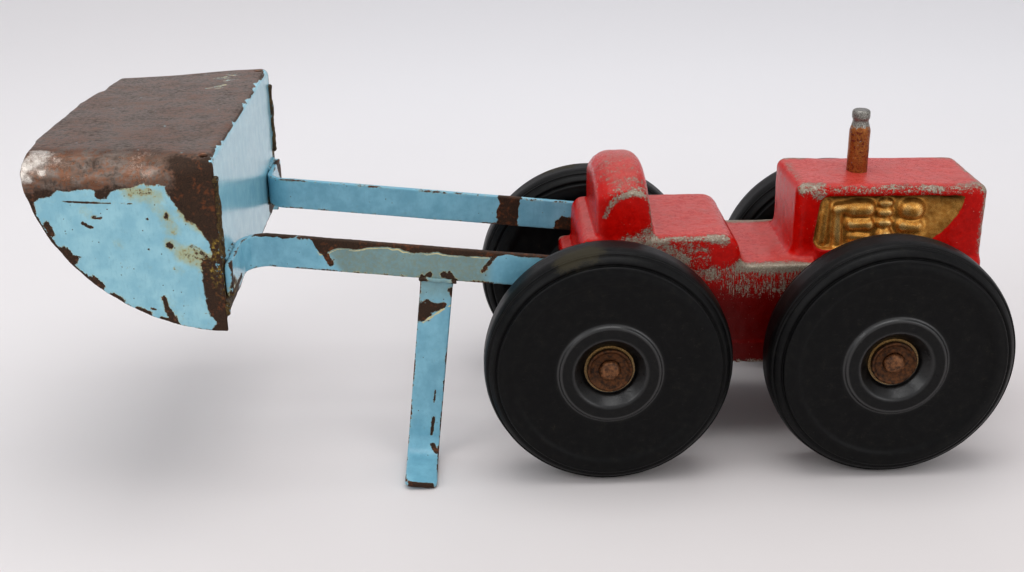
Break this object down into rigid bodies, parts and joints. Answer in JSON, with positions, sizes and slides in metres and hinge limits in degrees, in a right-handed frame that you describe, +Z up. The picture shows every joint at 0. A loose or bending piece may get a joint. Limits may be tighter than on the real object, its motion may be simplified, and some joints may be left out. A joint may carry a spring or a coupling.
{
  "type": "toy tractor with front loader",
  "caption": "Metal toy tractor with rubber wheels that roll and a blue loader bucket on two arms that swings from the floor in front, up over the seat, to the floor behind.",
  "frame": {"origin": "on the floor, at the middle of the bounding box with the loader swung back", "axes": "+X is forward, from the bucket to the engine hood; +Y is the driver's left; +Z is up"},
  "size_m": [0.4864, 0.1872, 0.183],
  "materials": {
    "red_enamel": "red enamel over cast aluminium, chipped to bare grey metal on the edges",
    "gold_paint": "worn gold-brown paint, bare grey at the rim",
    "bare_steel": "dull steel with light rust",
    "rusty_cap": "pressed steel, dark and rusty",
    "wheel_rubber": "black moulded rubber, semi-matt, slightly dusty",
    "blue_paint": "pale blue enamel over steel, chipped and worn to dark brown steel",
    "braze": "lumpy braze under thin pale blue paint, rusty where worn"
  },
  "bodies": {
    "tractor": {"body_casting": "red_enamel", "exhaust_stack": "gold_paint", "body_cross_pin": "bare_steel", "rear_axle": "bare_steel", "front_axle": "bare_steel", "rear_axle_spacers": "bare_steel", "front_axle_spacers": "bare_steel", "pivot_rod": "bare_steel", "pivot_inner_washers": "bare_steel", "pivot_retainers": "bare_steel", "front_right_axle_cap": "rusty_cap", "front_left_axle_cap": "rusty_cap", "rear_right_axle_cap": "rusty_cap", "rear_left_axle_cap": "rusty_cap"},
    "loader": {"left_arm": "blue_paint", "right_arm": "blue_paint", "left_arm_braze": "braze", "right_arm_braze": "braze", "lever": "blue_paint", "lever_weld": "braze", "bucket_shell": "blue_paint", "bucket_corner_braze": "braze"},
    "front_right_wheel_body": {"front_right_wheel": "wheel_rubber", "front_right_hub_bush": "bare_steel"},
    "front_left_wheel_body": {"front_left_wheel": "wheel_rubber", "front_left_hub_bush": "bare_steel"},
    "rear_right_wheel_body": {"rear_right_wheel": "wheel_rubber", "rear_right_hub_bush": "bare_steel"},
    "rear_left_wheel_body": {"rear_left_wheel": "wheel_rubber", "rear_left_hub_bush": "bare_steel"}
  },
  "joints": [
    {"name": "loader_swing", "type": "hinge", "parent": "tractor", "child": "loader", "pos_m": [0.05575, 0, 0.1], "axis": [0, 1, 0], "range_deg": [0, 183]},
    {"name": "front_right_wheel_roll", "type": "hinge", "parent": "tractor", "child": "front_right_wheel_body", "pos_m": [0.17975, -0.0675, 0.0635], "axis": [0, 1, 0], "continuous": true},
    {"name": "front_left_wheel_roll", "type": "hinge", "parent": "tractor", "child": "front_left_wheel_body", "pos_m": [0.17975, 0.0675, 0.0635], "axis": [0, 1, 0], "continuous": true},
    {"name": "rear_right_wheel_roll", "type": "hinge", "parent": "tractor", "child": "rear_right_wheel_body", "pos_m": [0.03575, -0.0675, 0.0635], "axis": [0, 1, 0], "continuous": true},
    {"name": "rear_left_wheel_roll", "type": "hinge", "parent": "tractor", "child": "rear_left_wheel_body", "pos_m": [0.03575, 0.0675, 0.0635], "axis": [0, 1, 0], "continuous": true}
  ]
}
